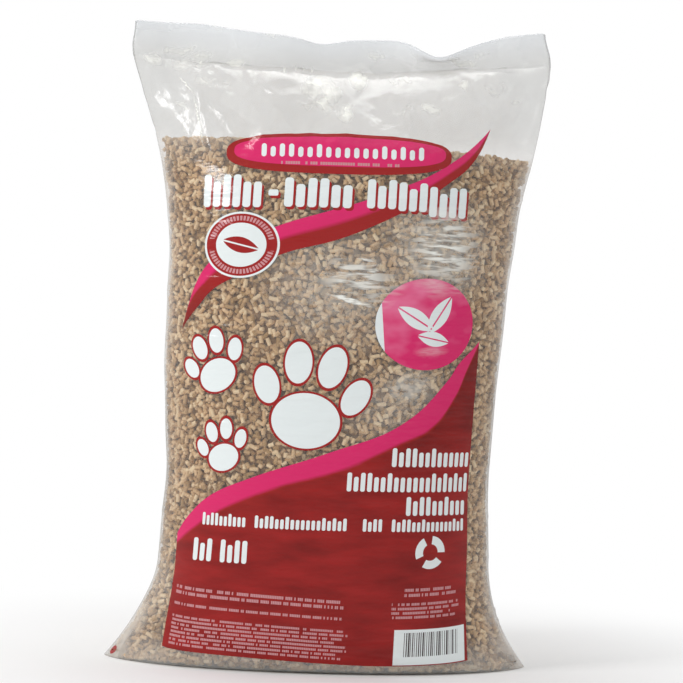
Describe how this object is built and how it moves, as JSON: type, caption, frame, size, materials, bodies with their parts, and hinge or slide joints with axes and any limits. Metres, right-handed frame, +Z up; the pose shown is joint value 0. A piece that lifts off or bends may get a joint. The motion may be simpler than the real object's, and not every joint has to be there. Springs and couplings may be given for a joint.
{
  "type": "bag of pellet cat litter",
  "caption": "Clear plastic film sack of wood-pellet cat litter, printed on its front, welded flat at top and bottom and standing on its foot.",
  "frame": {"origin": "on the floor, under the middle of the standing sack's bounding box", "axes": "+Z up along the sack, from its foot to its top weld; +X to the right along the welds, seen from the printed front; the printed front faces -Y"},
  "size_m": [0.4298, 0.2008, 0.6345],
  "materials": {
    "clear_film": "clear low-density polyethylene film, glossy, with dark red, pink and white print on the front",
    "wood_pellets": "pressed softwood pellets, matt, loose"
  },
  "bodies": {
    "root": {"film_bag": "clear_film", "litter_fill": "wood_pellets"}
  },
  "joints": []
}
